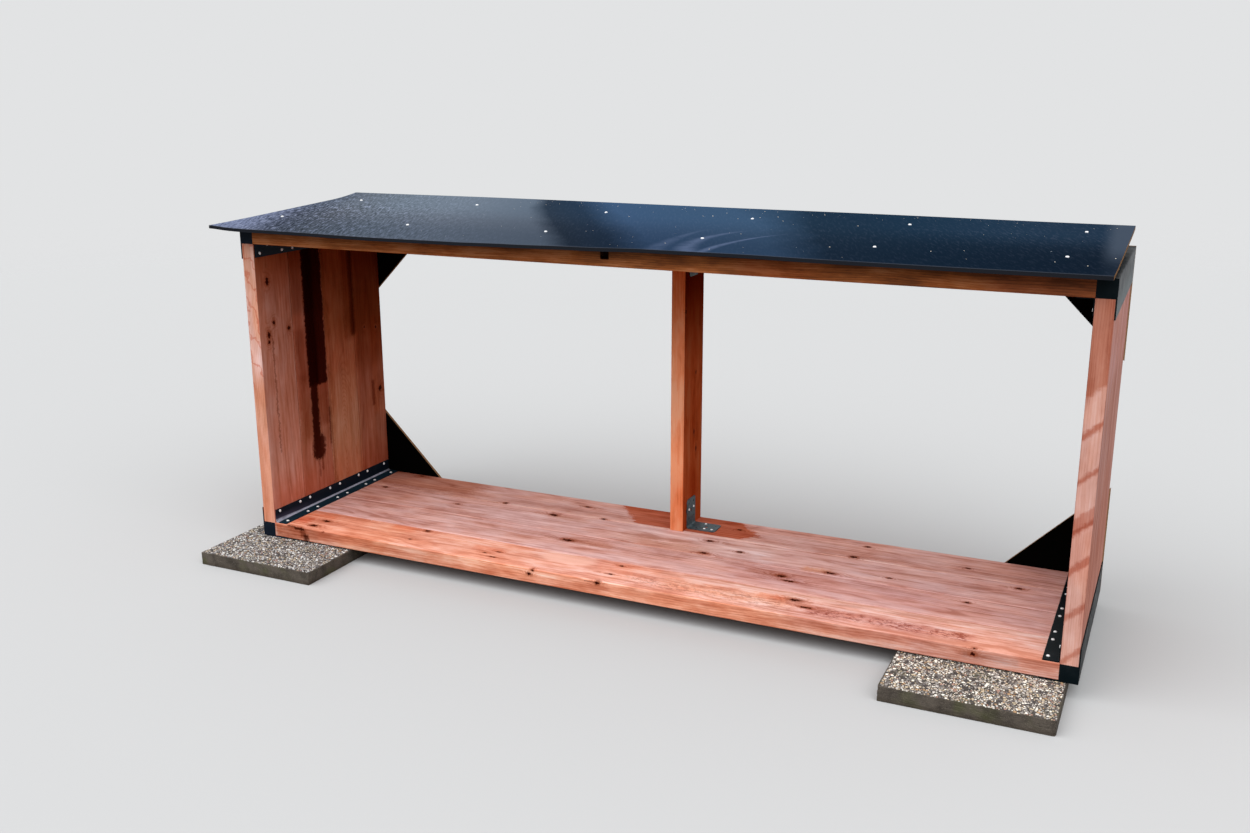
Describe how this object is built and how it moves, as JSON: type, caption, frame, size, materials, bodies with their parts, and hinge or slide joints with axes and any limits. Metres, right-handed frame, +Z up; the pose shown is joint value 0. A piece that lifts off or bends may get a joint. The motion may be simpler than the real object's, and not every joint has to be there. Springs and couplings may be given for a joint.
{
  "type": "log store",
  "caption": "Open firewood log store: a box of thick timber boards in black steel corner profiles, with a middle post, back gussets, a sloping plywood roof and concrete pads.",
  "frame": {"origin": "middle of the whole object's outline seen from above, on the ground under the concrete pads", "axes": "+X to the right along the open front, +Y from the open front to the back, +Z up"},
  "size_m": [2.475, 0.834, 1.0353],
  "materials": {
    "timber": "oiled reddish softwood",
    "black_steel": "semi-gloss black powder coat",
    "zinc": "hot-dip galvanised",
    "black_plywood": "black film-faced plywood",
    "roof_plywood": "glossy black film-faced plywood",
    "batten": "dark sawn softwood",
    "concrete": "exposed aggregate concrete"
  },
  "bodies": {
    "root": {"corner_profile_lower_left": "black_steel", "corner_profile_lower_right": "black_steel", "corner_profile_upper_left": "black_steel", "corner_profile_upper_right": "black_steel", "floor_board_1": "timber", "floor_board_2": "timber", "floor_board_3": "timber", "floor_board_4": "timber", "gusset_lower_left": "black_plywood", "gusset_lower_right": "black_plywood", "gusset_upper_left": "black_plywood", "gusset_upper_right": "black_plywood", "inner_angle_lower_left": "black_steel", "inner_angle_lower_right": "black_steel", "inner_angle_upper_left": "black_steel", "inner_angle_upper_right": "black_steel", "left_wall_board_1": "timber", "left_wall_board_2": "timber", "left_wall_board_3": "timber", "left_wall_board_4": "timber", "middle_post": "timber", "pad_back_left": "concrete", "pad_back_right": "concrete", "pad_front_left": "concrete", "pad_front_right": "concrete", "post_bracket_foot": "zinc", "post_bracket_head": "zinc", "right_wall_board_1": "timber", "right_wall_board_2": "timber", "right_wall_board_3": "timber", "right_wall_board_4": "timber", "roof_batten_1": "batten", "roof_batten_2": "batten", "roof_batten_3": "batten", "roof_batten_4": "batten", "roof_batten_5": "batten", "roof_batten_6": "batten", "roof_plate": "roof_plywood", "top_board_1": "timber", "top_board_2": "timber", "top_board_3": "timber", "top_board_4": "timber"}
  },
  "joints": []
}
